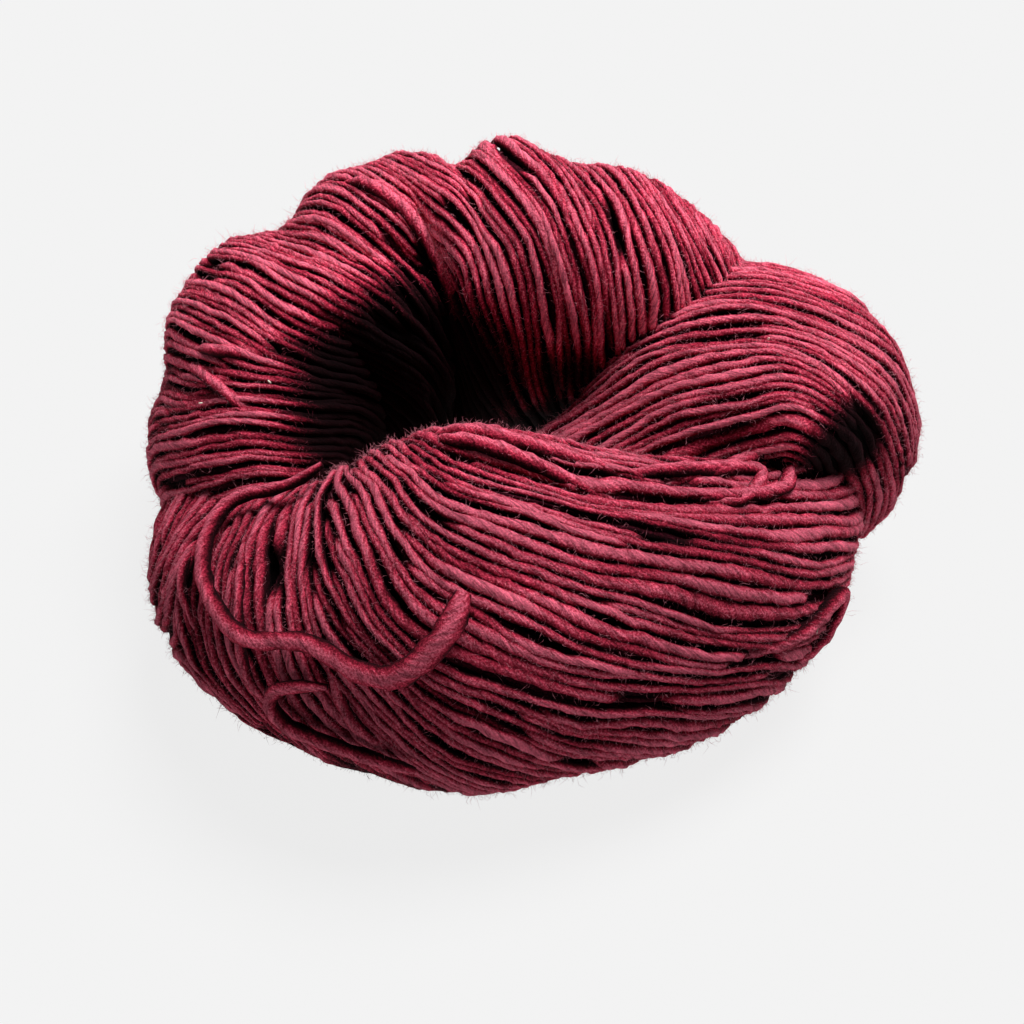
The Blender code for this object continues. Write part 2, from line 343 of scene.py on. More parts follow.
# Round places on a length, mm along it and degrees round it, and there the strands' slant
# from level as the camera sees it, judged to 5 degrees. In between, it changes smoothly.
FRONT_GUIDES = (
    (35, 130, 50), (35, 155, 65), (35, 180, 70),
    (45, 105, 35), (45, 130, 65), (45, 155, 85), (45, 180, -80), (45, 205, -45),
    (55, 105, 60), (55, 130, 80), (55, 155, 90), (55, 180, -65), (55, 205, -50),
    (65, 105, -40), (65, 130, -60), (65, 155, -60), (65, 180, -50), (65, 205, -45),
    (80, 105, -15), (80, 130, -20), (80, 155, -25), (80, 180, -20), (80, 205, -25),
    (95, 105, -5), (95, 130, -10), (95, 155, -10), (95, 180, -10), (95, 205, 0),
    (110, 105, -5), (110, 130, -5), (110, 155, -5), (110, 180, 0), (110, 205, 10),
    (125, 105, -10), (125, 130, 0), (125, 155, 5), (125, 180, 15),
)
BACK_GUIDES = (
    (35, 60, -85), (35, 85, -75), (35, 110, -60),
    (45, 60, -85), (45, 85, -75), (45, 110, -60),
    (60, 60, -80), (60, 85, -50), (60, 110, -40), (60, 135, -30),
    (75, 60, -65), (75, 85, -50), (75, 110, -35),
    (90, 60, -70), (90, 85, -45), (90, 110, -35),
    (105, 60, -30), (105, 85, -30), (105, 110, -25), (105, 135, -20), (105, 165, -20),
    (120, 60, -20), (120, 85, -25), (120, 110, -30), (120, 135, -30), (120, 165, -20),
    (135, 60, -5), (135, 85, -5), (135, 110, -10), (135, 135, 5), (135, 165, 5),
)
TUCKED_GUIDES = (
    (45, 85, 30), (45, 110, 25), (45, 135, 20),
    (60, 85, 20), (60, 110, 5), (60, 135, 10), (60, 160, 15),
    (75, 85, -20), (75, 110, -20), (75, 135, -30), (75, 160, -35),
    (90, 110, -70), (90, 135, -60), (90, 160, -50),
)
EYE_RIGHT = np.array([1.0, 0.0, 0.0])
EYE_UP = np.array([0.0, math.sin(CAMERA_HEIGHT_ANGLE), math.cos(CAMERA_HEIGHT_ANGLE)])


def unit(vectors):
    return vectors / np.linalg.norm(vectors, axis=-1, keepdims=True)


class Lay:
    """Which way the strands run, all over one length of the rope."""

    ROW_GAP = 1.5               # mm between the rings worked out
    COLUMNS = 96
    GUIDE_CORE = 4.0            # mm round a guide where its slant holds
    OWN_TWIST = 0.03            # the rope's own twist against the guides, close to one
    GUIDE_REACH = 26.0          # mm from a guide to where the rope's own twist takes over
    RIPPLES = (34.0, 21.0, 12.0)
    RIPPLE = 0.05               # radians

    def __init__(self, length, guides, twist, seed):
        self.length = length
        total = length.along[-1]
        self.rows = int(total / self.ROW_GAP)
        self.row_gap = total / (self.rows - 1)
        along = np.linspace(0.0, total, self.rows)[:, None]
        angle = np.arange(self.COLUMNS)[None, :] * 2 * math.pi / self.COLUMNS
        along, angle = np.broadcast_arrays(along, angle)
        points = length.surface(along, angle)
        by_along = np.gradient(points, self.row_gap, axis=0)
        by_angle = (np.roll(points, -1, axis=1) - np.roll(points, 1, axis=1)) * self.COLUMNS / (4 * math.pi)
        first = unit(by_along)
        second = unit(np.cross(np.cross(by_along, by_angle), first))

        # each guide holds its strands in a flat sheet that the camera sees edge on, and a strand
        # lies where the sheet meets the rope
        guides = np.array(guides, float)
        guide_points = length.surface(guides[:, 0], np.radians(guides[:, 1]))
        apart = ((points[:, :, None] - guide_points) ** 2).sum(-1)
        weight = 1 / (apart + self.GUIDE_CORE ** 2) ** 2
        weight /= weight.sum(-1, keepdims=True)
        slant = 2 * np.radians(guides[:, 2])
        level, rise = (weight * np.cos(slant)).sum(-1), (weight * np.sin(slant)).sum(-1)
        right = np.stack([first @ EYE_RIGHT, second @ EYE_RIGHT], -1)
        up = np.stack([first @ EYE_UP, second @ EYE_UP], -1)

        def product(one, other):
            return one[..., :, None] * other[..., None, :]

        against = (0.5 * (1 - level)[..., None, None] * product(right, right)
                   + 0.5 * (1 + level)[..., None, None] * product(up, up)
                   - 0.5 * rise[..., None, None] * (product(right, up) + product(up, right)))
        own_way = by_along + math.radians(twist) * by_angle
        own_way = unit(np.stack([(own_way * first).sum(-1), (own_way * second).sum(-1)], -1))
        own_side = np.stack([-own_way[..., 1], own_way[..., 0]], -1)
        share = self.OWN_TWIST + apart.min(-1) / self.GUIDE_REACH ** 2
        against = against + share[..., None, None] * product(own_side, own_side)
        way = 0.5 * np.arctan2(2 * against[..., 0, 1], against[..., 0, 0] - against[..., 1, 1]) + math.pi / 2
        random = np.random.default_rng(seed)
        for wave in self.RIPPLES:
            direction = unit(random.standard_normal(3))
            way = way + self.RIPPLE * np.sin(points @ direction * 2 * math.pi / wave + random.random() * 6.28)
        self.grid = np.concatenate([
            np.stack([np.cos(2 * way), np.sin(2 * way), np.linalg.norm(by_along, axis=-1),
                      (by_angle * first).sum(-1), (by_angle * second).sum(-1)], -1),
            points], -1)

    def look(self, along, angle):
        """What the grid holds at a place on the length."""
        row = along / self.row_gap
        i = min(max(int(row), 0), self.rows - 2)
        column = angle * self.COLUMNS / (2 * math.pi)
        j = math.floor(column)
        ahead, beside = row - i, column - j
        j %= self.COLUMNS
        k = (j + 1) % self.COLUMNS
        near = self.grid[i, j] * (1 - beside) + self.grid[i, k] * beside
        far = self.grid[i + 1, j] * (1 - beside) + self.grid[i + 1, k] * beside
        return (near * (1 - ahead) + far * ahead).tolist()

    def move(self, along, angle, way, distance, found):
        """The place that many mm away, in a direction across the surface."""
        stretch, lean, reach = found[2:5]
        d_angle = math.sin(way) / reach
        d_along = (math.cos(way) - d_angle * lean) / stretch
        return along + d_along * distance, angle + d_angle * distance

    def heading(self, found, last):
        way = 0.5 * math.atan2(found[1], found[0])
        return way + math.pi if math.cos(way - last) < 0 else way

    def step(self, along, angle, way, distance):
        found = self.look(along, angle)
        middle = self.move(along, angle, self.heading(found, way), distance / 2, found)
        found = self.look(*middle)
        way = self.heading(found, way)
        return (*self.move(along, angle, way, distance, found), way)


class Comb:
    """Lays strands side by side over a length, one next to another, until it is covered."""

    STEP = 1.3                  # mm between the points of a strand
    MARGIN = 1.0                # mm kept from the ends of the length
    GAPS = (0.88, 1.1)          # of the spacing, how far apart neighbours lie
    FREE = 0.93                 # of the gap, how clear a place is where a strand may start
    OWN_POINTS = 14             # points along itself within which a strand doesn't block itself
    CLOSEST = 0.5               # of the spacing: nearer than this a strand dives and ends
    SHORTEST = 7.0
    LONGEST = 260.0
    SEARCHES = 3000

    def __init__(self, lay, spacing, seed):
        self.lay = lay
        self.spacing = spacing
        self.random = np.random.default_rng(seed)
        self.total = lay.length.along[-1]
        self.cells = {}
        self.strands = []
        self.cover()

    def cell(self, point):
        return tuple(int(value // self.spacing) for value in point)

    def taken(self, point, limit, name=None, index=0):
        x, y, z = point
        i, j, k = self.cell(point)
        for a in (i - 1, i, i + 1):
            for b in (j - 1, j, j + 1):
                for c in (k - 1, k, k + 1):
                    for other in self.cells.get((a, b, c), ()):
                        if (other[0] - x) ** 2 + (other[1] - y) ** 2 + (other[2] - z) ** 2 < limit ** 2:
                            if other[3] != name or abs(other[4] - index) > self.OWN_POINTS:
                                return True
        return False

    def mark(self, point, name, index):
        self.cells.setdefault(self.cell(point), []).append((*point, name, index))

    def grow(self, place, way, name, sign):
        grown = []
        for index in range(1, int(self.LONGEST / 2 / self.STEP)):
            along, angle, way = self.lay.step(*place, way, self.STEP)
            place = (along, angle)
            if not self.MARGIN < along < self.total - self.MARGIN:
                break
            point = self.lay.look(along, angle)[5:]
            if self.taken(point, self.CLOSEST * self.spacing, name, sign * index):
                break
            self.mark(point, name, sign * index)
            grown.append((place, way, point))
        return grown

    def cover(self):
        waiting = [(self.total / 2, 2.0)]
        searches = 0
        while searches < self.SEARCHES:
            if waiting:
                place = waiting.pop(0)
            else:
                searches += 1
                place = (self.random.uniform(self.MARGIN, self.total - self.MARGIN),
                         self.random.uniform(0, 2 * math.pi))
            if not self.MARGIN < place[0] < self.total - self.MARGIN:
                continue
            found = self.lay.look(*place)
            gap = self.spacing * self.random.uniform(*self.GAPS)
            if self.taken(found[5:], self.FREE * gap):
                continue
            name = len(self.strands)
            way = self.lay.heading(found, 0.0)
            self.mark(found[5:], name, 0)
            ahead = self.grow(place, way, name, 1)
            behind = self.grow(place, way + math.pi, name, -1)
            whole = [(p, w + math.pi, q) for p, w, q in behind[::-1]] + [(place, way, found[5:])] + ahead
            if (len(whole) - 1) * self.STEP < self.SHORTEST:
                for _, _, point in whole:
                    cell = self.cell(point)
                    self.cells[cell] = [other for other in self.cells[cell] if other[3] != name]
                continue
            self.strands.append(np.array([p for p, w, q in whole]))
            for p, w, q in whole[::3]:
                found = self.lay.look(*p)
                for side in (math.pi / 2, -math.pi / 2):
                    waiting.append(self.lay.move(*p, w + side, gap, found))


# ---------------------------------------------------------------------------
# The turns that show. Strands lie side by side, no two alike: they wander, rise
# and sink, are spun thick and thin, and at their ends dive under their neighbours.

SPIN_PITCH = 12.0               # mm of strand to one turn of its ply
TABLE_GAP = 0.05
FELTING = 0.06                  # of its radius, how uneven a strand's surface is
# a strand's sides are painted darker than its crest, as if they lay deeper: painted shade across each strand
SIDE_SHADE_DEPTH = 1.6                 # mm that a strand's sides count as lying deeper than its crest


def drift(random, count, wave):
    """Smooth random values that change over about wave steps."""
    knots = random.standard_normal(max(3, int(count / wave) + 3))
    place = np.linspace(random.random(), len(knots) - 1.001, count)
    whole = place.astype(int)
    blend = place - whole
    blend = blend * blend * (3 - 2 * blend)
    return knots[whole] * (1 - blend) + knots[whole + 1] * blend


def run_lengths(path):
    return np.concatenate([[0.0], np.cumsum(np.linalg.norm(np.diff(path, axis=0), axis=1))])


def ease(share):
    share = np.clip(share, 0.0, 1.0)
    return share * share * (3 - 2 * share)


BLOCKER_RINGS = 90
BLOCKER_SIDES = 40
BLOCKER_INSET = 1.5             # mm


def sky_blockers():
    """The rope's three lengths, a little slimmer, as one tree that rays are cast against."""
    vertices, faces = [], []
    for length in (front, back, tucked):
        along = np.linspace(1.0, length.along[-1] - 1.0, BLOCKER_RINGS)[:, None]
        angle = np.linspace(0.0, 2 * math.pi, BLOCKER_SIDES, endpoint=False)[None, :]
        points = length.surface(*np.broadcast_arrays(along, angle), -BLOCKER_INSET)
        points[..., :2] -= MIDDLE
        first = len(vertices) + np.arange((BLOCKER_RINGS - 1) * BLOCKER_SIDES)
        first = first.reshape(BLOCKER_RINGS - 1, BLOCKER_SIDES)
        beside = np.roll(first, -1, axis=1)
        quads = np.stack([first, beside, beside + BLOCKER_SIDES, first + BLOCKER_SIDES], -1)
        vertices.extend(points.reshape(-1, 3).tolist())
        faces.extend(quads.reshape(-1, 4).tolist())
    return BVHTree.FromPolygons(vertices, faces)


SKY_RAYS = 24
SKY_REACH = 120.0               # mm that a ray is followed
RAY_TURN = 2.4                  # radians from one ray to the next, close to the golden angle
TO_WINDOW = Vector((0.3, 0.25, 1.0))      # the main light comes from there
TO_LIGHT = TO_WINDOW.to_track_quat("Z", "Y")
SKY = [TO_LIGHT @ Vector((math.sqrt(share) * math.cos(RAY_TURN * i),
                          math.sqrt(share) * math.sin(RAY_TURN * i), math.sqrt(1 - share)))
       for i, share in ((i, (i + 0.5) / SKY_RAYS) for i in range(SKY_RAYS))]
blockers = sky_blockers()


def seen_sky(points):
    """The share of the sky that each point sees past the rope, less than 0 if it sees nothing at all."""
    shares = []
    for point in map(Vector, points):
        share = sum(blockers.ray_cast(point, ray, SKY_REACH)[0] is None for ray in SKY) / SKY_RAYS
        if share == 0 and all(blockers.ray_cast(point, -ray, SKY_REACH)[0] for ray in SKY):
            share = -1.0
        shares.append(share)
    return np.array(shares)


def seen_runs(seen, thinning):
    """The stretches of a strand that can be seen, with some more at their ends."""
    seen = np.convolve(np.repeat(seen, 2), np.ones(7), "same") > 0
    edges = np.flatnonzero(np.diff(np.concatenate([[0], seen.astype(int), [0]])))
    return [slice(start, end, thinning) for start, end in zip(edges[::2], edges[1::2]) if end - start > 4]


# a length, the middle of a hollow that it walls, and how far from there its strands are painted fully dark
# and from where they are lit, in mm: painted shade in the hollow
HOLLOWS = (
    (back, (-21, -2, 40), 11, 30),
    (back, (8, 0, 42), 2, 14),
    (tucked, (54, -15, 43), 2, 13),
)
DARK_BELOW = 3.0                # mm that a strand which sees no sky counts as lying deeper
OPEN_SKY = 0.4                  # a strand that sees this much isn't darkened


def shade(length, path, sky):
    """How much deeper, in mm, a strand counts as lying for the light that it doesn't get."""
    sky = np.convolve(np.pad(sky, 2, "edge"), np.full(5, 0.2), "valid")
    dark = 1 - ease(sky / OPEN_SKY)
    for wall, middle, near, far in HOLLOWS:
        if wall is length:
            apart = np.linalg.norm(path - middle, axis=1)
            dark = np.maximum(dark, 1 - ease((apart - near) / (far - near)))
    return DARK_BELOW * dark


DIVE_RUN = 7.0                  # mm over which a strand's end dives
TAPER_RUN = 4.0                 # mm over which it thins


def wound_strands(comb, depth, seed, thick=1.6, thin=0.7, fill=0.5, wander=0.15, rise=0.3,
                  dive=2.4, thinning=1):
    """The comb's strands as places in mm, radii, the surface's outward directions, and depths with the
    painted shade added.
    """
    random = np.random.default_rng(seed)
    length = comb.lay.length
    laid = [length.surface(strand[:, 0], strand[:, 1]) for strand in comb.strands]
    owner = np.concatenate([np.full(len(points), i) for i, points in enumerate(laid)])
    every = np.concatenate(laid)
    nearest = nearest_other(every, owner, comb.spacing * 1.7)
    wound = []
    first = 0
    for strand, points in zip(comb.strands, laid):
        count = len(strand)
        gap = nearest[first:first + count]
        first += count
        kernel = np.hanning(11)[1:-1]
        padded = np.concatenate([np.full(4, gap[0]), gap, np.full(4, gap[-1])])
        gap = np.convolve(padded, kernel / kernel.sum(), "valid")
        loft = (random.uniform(0.9, 1.08) * (1 + 0.08 * drift(random, count, 9))
                * (1 + 0.05 * drift(random, count, 2.5)))
        radius = np.clip(fill * gap, thin, thick) * loft
        along, angle = strand.T
        nudge = 0.05
        by_along = length.surface(along + nudge, angle) - length.surface(along - nudge, angle)
        by_angle = length.surface(along, angle + 0.01) - length.surface(along, angle - 0.01)
        outward = unit(np.cross(by_angle, by_along))
        run = np.arange(count) * comb.STEP
        sunk = np.zeros(count)
        for place, from_end in ((along[0], run), (along[-1], run[-1] - run)):
            if comb.MARGIN + 2 < place < comb.total - comb.MARGIN - 2:
                sunk += dive * (1 - ease(from_end / DIVE_RUN))
                radius = radius * (0.4 + 0.6 * ease(from_end / TAPER_RUN))
        lift = rise * drift(random, count, 13) - depth - radius - sunk
        sideways = np.cross(outward, unit(np.gradient(points, axis=0)))
        path = length.surface(along, angle, lift)
        aside = wander * drift(random, count, 14) + 0.05 * drift(random, count, 3)
        path = path + sideways * (comb.spacing * aside)[:, None]
        path[:, :2] -= MIDDLE
        path[:, 2] = np.maximum(path[:, 2], 0.8 * radius + TABLE_GAP)
        sky = seen_sky(path[::2] + outward[::2] * (1.5 - lift[::2])[:, None])
        runs = seen_runs(sky >= 0, thinning)
        sky = np.interp(np.arange(count), np.arange(0, count, 2), sky)
        # how deep the strand lies, and deeper still where it gets less light, which the colours turn into
        # painted shade
        shade_depth = shade(length, path, sky) - lift
        wound.extend(tuple(values[run] for values in (path, radius, outward, shade_depth)) for run in runs)
    return wound


def nearest_other(points, owner, most):
    """For each point, the distance to the nearest point of another strand, at most most."""
    cells = {}
    keys = np.floor(points / most).astype(int)
    for index, key in enumerate(map(tuple, keys)):
        cells.setdefault(key, []).append(index)
    nearest = np.full(len(points), most)
    for key, members in cells.items():
        around = [index for i in (-1, 0, 1) for j in (-1, 0, 1) for k in (-1, 0, 1)
                  for index in cells.get((key[0] + i, key[1] + j, key[2] + k), ())]
        apart = np.linalg.norm(points[members][:, None] - points[around][None], axis=2)
        apart[owner[members][:, None] == owner[around][None]] = most
        nearest[members] = np.minimum(apart.min(axis=1), most)
    return nearest


def spun_strands(name, strands, sides, seed, material):
    """One mesh of closed strands, each a twisted ply, with UVs that follow its fibres.

    A strand is its places in mm, its radii, the directions that face out of the hank
    there, and how deep its middle counts as lying, with painted shade added.
    """
    random = np.random.default_rng(seed)
    path = np.concatenate([strand[0] for strand in strands])
    radius = np.concatenate([strand[1] for strand in strands])
    outward = np.concatenate([strand[2] for strand in strands])
    forward = unit(np.concatenate([np.gradient(strand[0], axis=0) for strand in strands]))
    counts = np.array([len(strand[0]) for strand in strands])
    side = unit(np.cross(outward, forward))
    upward = np.cross(forward, side)
    along = np.concatenate([run_lengths(strand[0]) for strand in strands])
    start = np.repeat(random.random(len(strands)), counts)
    spin = along / SPIN_PITCH + start
    ring = np.arange(sides) * 2 * math.pi / sides
    around = ring - 2 * math.pi * spin[:, None]
    reach = radius[:, None] * (1 + 0.09 * np.cos(2 * around) + 0.05 * np.cos(3 * around + 1.0)
                               + FELTING * random.standard_normal((len(path), sides)))
    rings = path[:, None] + reach[..., None] * (np.cos(ring)[:, None] * side[:, None]
                                                + np.sin(ring)[:, None] * upward[:, None])
    rings[..., 2] = np.maximum(rings[..., 2], TABLE_GAP)
    depth = np.concatenate([strand[3] for strand in strands])
    # the sides count as deeper than the crest, so they are painted darker: painted shade
    shade_depth = (depth - radius)[:, None] + SIDE_SHADE_DEPTH * (1 - np.sin(ring))

    ends = np.cumsum(counts) - 1
    starts = ends - counts + 1
    column = np.arange(sides)
    beside = (column + 1) % sides
    joined = np.setdiff1d(np.arange(len(path)), ends)[:, None] * sides
    quads = np.stack([joined + column, joined + beside,
                      joined + sides + beside, joined + sides + column], -1)
    tip = len(path) * sides + np.arange(len(strands))[:, None]
    near_tips = np.stack(np.broadcast_arrays(tip, starts[:, None] * sides + beside,
                                             starts[:, None] * sides + column), -1)
    far_tips = np.stack(np.broadcast_arrays(tip + len(strands), ends[:, None] * sides + column,
                                            ends[:, None] * sides + beside), -1)
    vertices = np.concatenate([rings.reshape(-1, 3), path[starts], path[ends]])
    triangles = np.concatenate([near_tips.reshape(-1, 3), far_tips.reshape(-1, 3)])

    u = np.arange(sides + 1) / sides - spin[:, None]
    v = np.broadcast_to((along * MM + start * 3)[:, None], u.shape)
    uv = np.stack([u, v], -1)
    row = joined[:, 0] // sides
    quad_uv = np.stack([uv[row, :-1], uv[row, 1:], uv[row + 1, 1:], uv[row + 1, :-1]], -2)
    tip_uv = np.repeat(np.concatenate([uv[starts, 0], uv[ends, 0]]), sides * 3, axis=0)
    return mesh_piece(name, vertices, quads.reshape(-1, 4), triangles,
                      np.concatenate([quad_uv.reshape(-1, 2), tip_uv]),
                      np.concatenate([shade_depth.ravel(), shade_depth[starts, 0], shade_depth[ends, 0]]), material)


def mesh_piece(name, vertices, quads, triangles, uv, shade_depth, material):
    """A smooth mesh object from arrays in mm, on the hank's own body."""
    mesh = bpy.data.meshes.new(name)
    mesh.vertices.add(len(vertices))
    mesh.vertices.foreach_set("co", (vertices * MM).astype(np.float32).ravel())
    corners = np.concatenate([quads.ravel(), triangles.ravel()]).astype(np.int32)
    mesh.loops.add(len(corners))
    mesh.loops.foreach_set("vertex_index", corners)
    starts = np.concatenate([np.arange(len(quads)) * 4, len(quads) * 4 + np.arange(len(triangles)) * 3])
    mesh.polygons.add(len(starts))
    mesh.polygons.foreach_set("loop_start", starts.astype(np.int32))
    mesh.update(calc_edges=True)
    layer = mesh.uv_layers.new(name="strand")
    layer.data.foreach_set("uv", uv.astype(np.float32).ravel())
    mesh.attributes.new("shade_depth", "FLOAT", "POINT").data.foreach_set("value", shade_depth.astype(np.float32))
    mesh.shade_smooth()
    mesh.materials.append(material)
    piece = bpy.data.objects.new(name, mesh)
    bpy.context.collection.objects.link(piece)
    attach(piece, "root")
    return piece


lays = {
    "front": Lay(front, FRONT_GUIDES, 2.5, 3),
    "back": Lay(back, BACK_GUIDES, 7.2, 4),
    "tucked": Lay(tucked, TUCKED_GUIDES, 1.2, 5),
}
TURN_SPACING = {"front": 2.1, "back": 1.67, "tucked": 1.9}
TURN_SIDES = {"front": 8, "back": 7, "tucked": 8}
outer_turns = {}

for name in ("front", "back", "tucked"):
    comb = Comb(lays[name], TURN_SPACING[name], 11)
    wound = wound_strands(comb, 0.0, 12)
    outer_turns[name] = wound
    turns = spun_strands(name + "_turns", wound, TURN_SIDES[name], 13, burgundy_wool)
    if name == "front":
        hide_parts("hank")


# ---------------------------------------------------------------------------
# The turns underneath, which show between the outer ones, and the shadowed heart
# of the rope below them, packed too closely to see a strand.

# the inner turns are coloured darker than the outer ones, and darker with depth: painted shade under the
# outer turns
inner_wool = wool("inner_wool", ((0.0, "#7a2236"), (1.6, "#4a1220"), (2.4, "#1e060c"), (3.6, "#060102")),
                  sheen=0.0)

for name in ("front", "back", "tucked"):
    comb = Comb(lays[name], TURN_SPACING[name] * 1.1, 14)
    wound = wound_strands(comb, 1.9, 15, dive=1.5, thinning=2)
    inner_turns = spun_strands(name + "_inner_turns", wound, 6, 16, inner_wool)

# the heart is coloured near black: painted shade under the turns, where the same wool lies
heart_wool = wool("heart_wool", ((0.0, "#0c0306"), (4.0, "#050102")), sheen=0.0)


def rope_heart(name, length, depth=4.6, columns=36, rings=80):
    """A closed, smooth body just under the inner turns."""
    along = np.linspace(3.0, length.along[-1] - 3.0, rings)[:, None]
    angle = np.linspace(0.0, 2 * math.pi, columns, endpoint=False)[None, :]
    along, angle = np.broadcast_arrays(along, angle)
    points = length.surface(along, angle, -depth)
    points[..., :2] -= MIDDLE
    points[..., 2] = np.maximum(points[..., 2], 2.0)
    ends = points[[0, -1]].mean(axis=1)
    vertices = np.concatenate([points.reshape(-1, 3), ends])
    column = np.arange(columns)
    beside = (column + 1) % columns
    first = (np.arange(rings - 1) * columns)[:, None]
    quads = np.stack([first + column, first + beside,
                      first + columns + beside, first + columns + column], -1)
    tip = rings * columns
    last = (rings - 1) * columns
    triangles = np.concatenate([
        np.stack([np.full(columns, tip), beside, column], -1),
        np.stack([np.full(columns, tip + 1), last + column, last + beside], -1)])
    heart = mesh_piece(name, vertices, quads.reshape(-1, 4), triangles,
                       np.zeros((quads.size + triangles.size, 2)), np.full(len(vertices), depth), heart_wool)


rope_heart("front_heart", front)
rope_heart("back_heart", back)
rope_heart("tucked_heart", tucked)


# ---------------------------------------------------------------------------
# Stray turns. A few strands have slipped out of line: they ride over the others,
# thicker and less tightly laid, and go back under them at both ends.

# for each, the length it lies on, then mm along it, degrees round it and the strand's
# diameter in mm
STRAYS = (
    # the thick one that edges the fold behind the eye, and two that cross the left side
    (back, ((90, 140, 1.8), (90, 120, 2.6), (85, 90, 2.9), (75, 60, 2.8), (75, 30, 1.8))),
    (back, ((120, 155, 1.8), (125, 130, 2.3), (125, 95, 1.8))),
    (back, ((120, 165, 1.7), (130, 130, 2.2), (135, 100, 1.7))),
    # two that hook over the lip of the eye
    (front, ((70, 80, 2.0), (75, 95, 3.0), (85, 102, 2.9), (105, 105, 2.0))),
    (front, ((70, 85, 2.0), (75, 100, 2.8), (85, 110, 2.6), (95, 115, 2.0))),
    # two that turn back on themselves at the right
    (front, ((95, 100, 2.0), (110, 105, 2.6), (125, 110, 2.8), (132, 120, 2.9), (130, 130, 2.8),
             (120, 125, 2.6), (105, 110, 2.0))),
    (front, ((105, 105, 2.0), (120, 110, 2.5), (126, 120, 2.6), (120, 125, 2.4), (110, 115, 2.0))),
    # one that turns back lower down, as a small knob at the right end
    (front, ((110, 190, 2.0), (120, 190, 2.6), (128, 197, 2.8), (126, 205, 2.6), (115, 207, 2.0))),
    # three thin ones that run down across the others at the left
    (front, ((35, 130, 1.2), (40, 155, 1.7), (45, 190, 1.2))),
    (front, ((40, 115, 1.2), (50, 150, 1.7), (52, 185, 1.7), (55, 215, 1.2))),
    (front, ((60, 170, 1.4), (62, 195, 2.2), (68, 225, 1.5))),
)


def riding_strand(length, route, lift, spacing):
    """A strand over a length, along (mm, degrees, diameter), as spun_strands takes it."""
    route = np.array(route, float)
    laid = length.surface(route[:, 0], np.radians(route[:, 1]), lift)
    outward = unit(laid - length.read(length.centre, route[:, 0]))
    laid[:, :2] -= MIDDLE
    rows = np.column_stack([laid, route[:, 2] / 2, outward])
    rows = smooth_curve(rows, int(run_lengths(laid)[-1] / spacing))
    return rows[:, :3], rows[:, 3], rows[:, 4:], rows[:, 3]


STRAY_LIFT = 0.35               # mm over the surface, at the strand's middle
STRAY_DIVE = 3.0                # mm under it, at both ends


def stray_strand(length, route):
    lift = np.full(len(route), STRAY_LIFT)
    lift[[0, -1]] = -STRAY_DIVE
    path, radius, outward, depth = riding_strand(length, route, lift, 1.2)
    return path, radius, outward, depth + shade(length, path, seen_sky(path + 2 * outward))


strays = [stray_strand(*stray) for stray in STRAYS]
spun_strands("stray_turns", strays, 12, 31, burgundy_wool)


# ---------------------------------------------------------------------------
# The halo. Loose fibres stand off every strand, most of them short. The finest are
# drawn thicker than a real one's 0.03 mm, which wouldn't show.

# the fibres are painted darker the deeper in the hank they leave it: painted shade
halo_wool = wool("halo_wool", ((0.0, "#d0808e"), (0.8, "#a04c5c"), (1.6, "#501c28"), (2.8, "#100406")),
                 sheen=0.0)
FIBRE_RADIUS = 0.026            # mm
FIBRE_SHORTEST = 0.5
FIBRE_MORE = 0.6                # mm that fibres are longer than the shortest, on average
FIBRE_LONGEST = 3.2
HALO_DEPTH = 1.6                # mm deep in the hank, where the last fibres show
CORNER_TURNS = (0.0, 2.094, 4.189)        # radians, a third of a turn apart


def halo(name, wound, count, seed):
    """Fibres that leave the strands' crests, each a closed sliver with one bend in it."""
    random = np.random.default_rng(seed)
    path, radius, outward, depth = (np.concatenate(column) for column in zip(*wound))
    forward = unit(np.concatenate([np.gradient(strand[0], axis=0) for strand in wound]))
    pick = random.permutation(np.flatnonzero(depth - radius < HALO_DEPTH))
    pick = np.resize(pick, count)
    side = unit(np.cross(outward[pick], forward[pick]))
    ring = random.uniform(0.1, 0.9, count) * math.pi
    normal = np.cos(ring)[:, None] * side + np.sin(ring)[:, None] * outward[pick]
    reach = np.minimum(FIBRE_SHORTEST + random.exponential(FIBRE_MORE, count), FIBRE_LONGEST)[:, None]
    root = path[pick] + 0.7 * radius[pick][:, None] * normal
    leave = unit(0.35 * normal + 1.3 * random.uniform(-1, 1, (count, 1)) * forward[pick]
                 + 0.4 * random.standard_normal((count, 3)))
    bend = root + leave * reach * 0.5 + 0.3 * radius[pick][:, None] * normal
    turned = unit(leave + 1.2 * random.standard_normal((count, 3)))
    tip = bend + turned * reach * 0.6
    first = unit(np.cross(tip - root, normal + 0.01))
    second = unit(np.cross(tip - root, first))
    ring = np.stack([bend + FIBRE_RADIUS * (math.cos(turn) * first + math.sin(turn) * second)
                     for turn in CORNER_TURNS], 1)
    vertices = np.concatenate([root[:, None], ring, tip[:, None]], 1)
    above = vertices[..., 2].min(axis=1) > 0.1
    vertices = vertices[above]
    start = (np.arange(len(vertices)) * 5)[:, None, None]
    corners = np.array([(0, 2, 1), (0, 3, 2), (0, 1, 3), (4, 1, 2), (4, 2, 3), (4, 3, 1)])
    shade_depth = np.repeat((depth - radius)[pick][above], 5)
    triangles = (start + corners).reshape(-1, 3)
    piece = mesh_piece(name, vertices.reshape(-1, 3), np.zeros((0, 4), int), triangles,
                       np.zeros((triangles.size, 2)), shade_depth, halo_wool)


halo("front_halo", outer_turns["front"], 26000, 21)
halo("back_halo", outer_turns["back"] + strays, 27000, 22)
halo("tucked_halo", outer_turns["tucked"], 13000, 23)


# ---------------------------------------------------------------------------
# Flecks. A few specks of undyed wool that carding left in cling to the strands.

flecks_wool = wool("flecks_wool", ((0.0, "#e6d8cc"), (2.0, "#a89888")), sheen=0.0)

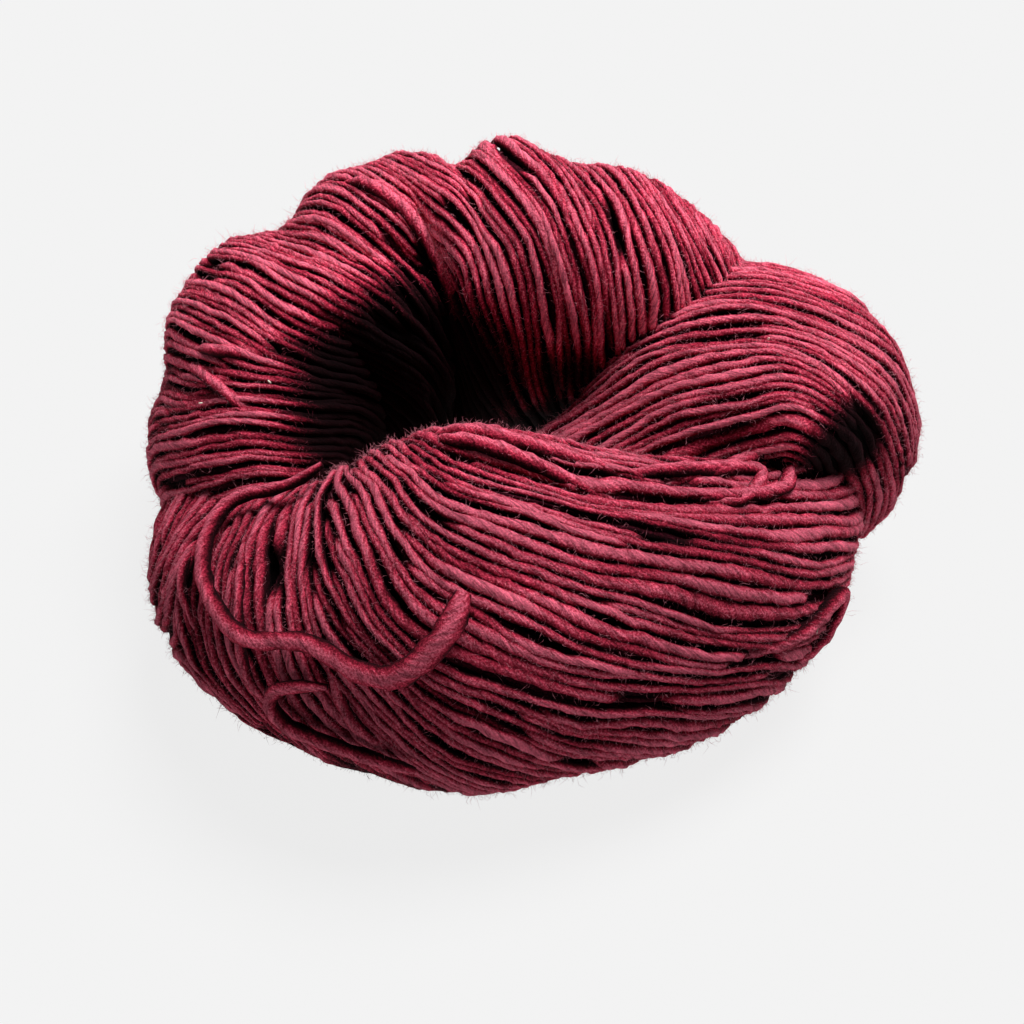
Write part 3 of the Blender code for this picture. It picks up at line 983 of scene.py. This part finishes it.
# the length each lies on, mm along it, degrees round it, and its length and thickness in mm
FLECKS = ((tucked, 68, 120, 1.5, 0.4), (back, 130, 145, 0.9, 0.3), (back, 130, 105, 0.8, 0.3),
          (front, 122, 196, 1.6, 0.2))

for number, (length, along, degrees, long, thick) in enumerate(FLECKS):
    middle = length.surface(np.array([along]), np.radians([degrees]), 0.3)[0] - [*MIDDLE, 0]
    bpy.ops.mesh.primitive_uv_sphere_add(segments=10, ring_count=8, radius=0.5 * MM, location=middle * MM,
                                         rotation=(0.6, 1.2 * number, 0.3), scale=(thick, thick, long))
    fleck = bpy.context.object
    fleck.name = f"fleck_{number + 1}"
    bpy.ops.object.transform_apply(location=True, rotation=True, scale=True)
    bpy.ops.object.shade_smooth()
    fleck.data.materials.append(flecks_wool)
    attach(fleck, "root")


# ---------------------------------------------------------------------------
# The loose strand. A loop of the same yarn has sprung from the hank: it comes
# out of the eye, crosses the front turns and goes back under one of them. It
# is spun thin at the eye and thick at its other end.

# mm along the front length, degrees round it from the side that faces the eye,
# and the strand's diameter in mm
LOOSE_STRAND_ROUTE = (
    (55, 100, 1.9),
    (50, 105, 2.0),
    (44, 109, 2.2),
    (40, 118, 2.4),
    (42, 133, 2.6),
    (45, 147, 2.8),
    (49, 160, 2.9),
    (54, 169, 3.0),
    (59, 169, 3.1),
    (63, 176, 3.4),
    (68, 180, 4.0),
    (72, 174, 4.4),
    (75, 165, 4.2),
    (76, 158, 4.0),
)
FREE_END_ROUTE = (
    (61, 184, 1.7),
    (58, 184, 2.2),
    (55, 189, 2.6),
    (55, 196, 2.7),
    (58, 203, 2.5),
    (63, 209, 2.3),
    (68, 214, 1.9),
)
CLEAR_OF_HANK = 1.0
CORD_POINT_GAP = 2.0


def laid_strand(name, length, route, diameter, seed):
    """A strand that lies on a length of the rope, in place of the part of that name, which is hidden."""
    strand = riding_strand(length, route, diameter / 2 + CLEAR_OF_HANK, CORD_POINT_GAP)
    strand[1][[0, -1]] *= 0.6
    strand[1][[1, -2]] *= 0.9
    piece = spun_strands(name + "_wool", [strand], 16, seed, burgundy_wool)
    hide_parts(name)


laid_strand("loose_strand", front, LOOSE_STRAND_ROUTE, 3.4, 41)
laid_strand("free_end", front, FREE_END_ROUTE, 2.4, 43)


# ---------------------------------------------------------------------------
# The table is plain white and out of the story. The light is a large soft
# source above the hank, a little behind it and to its right, in a pale studio.

bpy.ops.mesh.primitive_plane_add(size=16.0, location=(0, 0, 0))
table = bpy.context.object
table.name = "table"
table_material = bpy.data.materials.new("table")
table_material.use_nodes = True
table_shader = table_material.node_tree.nodes["Principled BSDF"]
table_shader.inputs["Base Color"].default_value = linear("#404040")
table_shader.inputs["Roughness"].default_value = 1.0
table_shader.inputs["Specular IOR Level"].default_value = 0.0
table_shader.inputs["Emission Color"].default_value = linear("#ffffff")
table_shader.inputs["Emission Strength"].default_value = 0.825
table.data.materials.append(table_material)

sun_data = bpy.data.lights.new("window", "SUN")
sun_data.energy = 4.3
sun_data.angle = math.radians(32)
sun = bpy.data.objects.new("window", sun_data)
sun.rotation_euler = (-TO_WINDOW).to_track_quat("-Z", "Y").to_euler()
bpy.context.collection.objects.link(sun)

world = bpy.data.worlds.new("studio")
world.use_nodes = True
background = world.node_tree.nodes["Background"]
background.inputs["Color"].default_value = linear("#ffffff")
background.inputs["Strength"].default_value = 0.1
bpy.context.scene.world = world
bpy.context.scene.view_settings.view_transform = "Standard"
